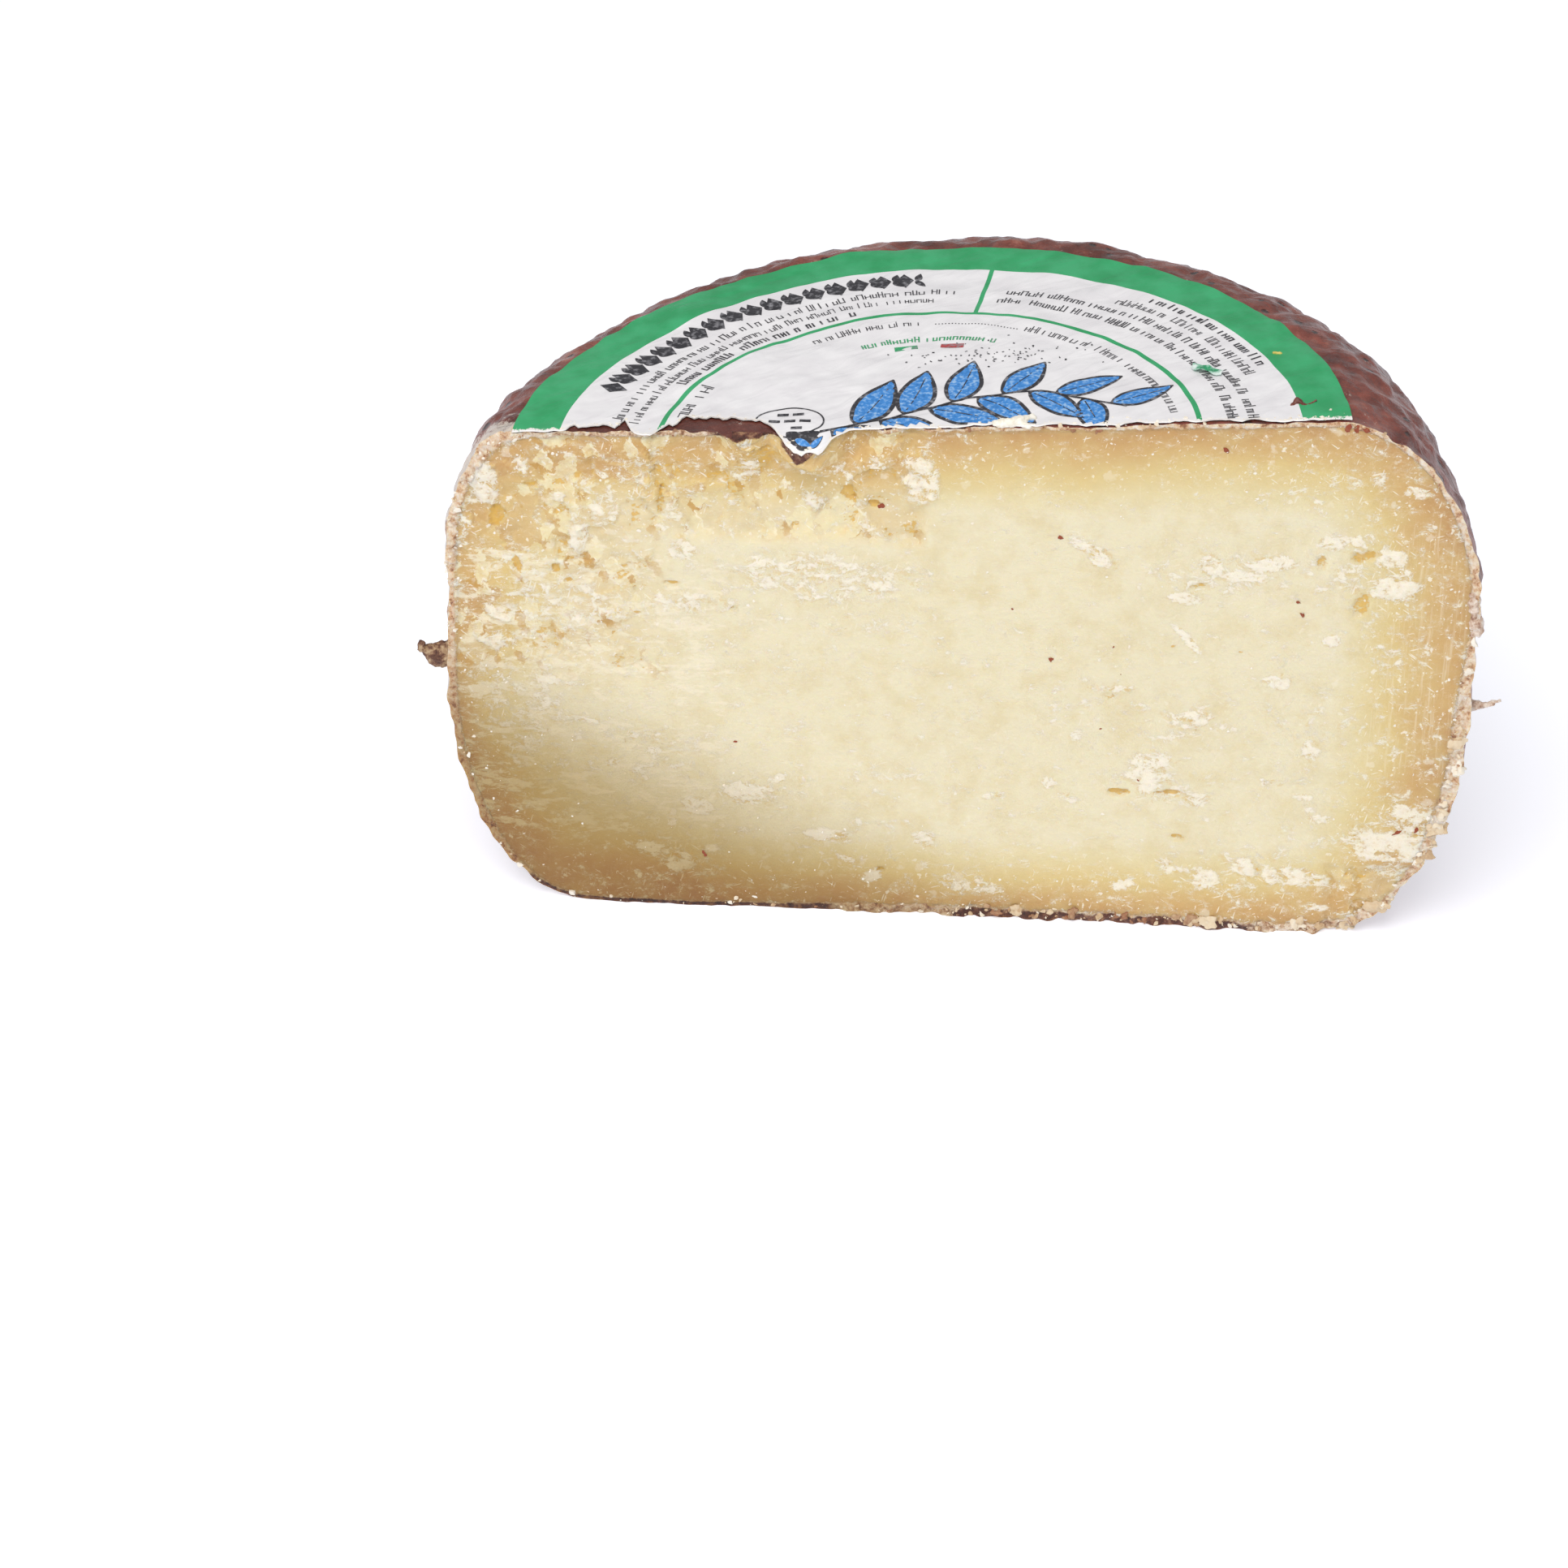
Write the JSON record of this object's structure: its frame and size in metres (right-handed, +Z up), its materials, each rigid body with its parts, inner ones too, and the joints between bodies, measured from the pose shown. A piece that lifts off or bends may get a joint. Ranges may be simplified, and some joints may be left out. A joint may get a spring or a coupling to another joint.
{
  "type": "half wheel of aged pecorino cheese",
  "caption": "Half wheel of aged sheep's milk cheese standing on its flat base, with brown pitted rind, torn crumbly cut face and a round paper label on top.",
  "frame": {"origin": "under the middle of the footprint, on the surface that the flat base stands on", "axes": "+X along the cut face to its right seen from the front, +Y from the cut face towards the rind at the back, +Z up"},
  "size_m": [0.1902, 0.0891, 0.1063],
  "materials": {
    "paste": "pale cream cheese paste, crumbly, golden towards the rind",
    "rind": "dark red-brown pitted cheese rind, satin",
    "label_paper": "coated label paper with a green rim, lightly creased"
  },
  "bodies": {
    "root": {"cheese": "paste", "label": "label_paper"}
  },
  "joints": []
}
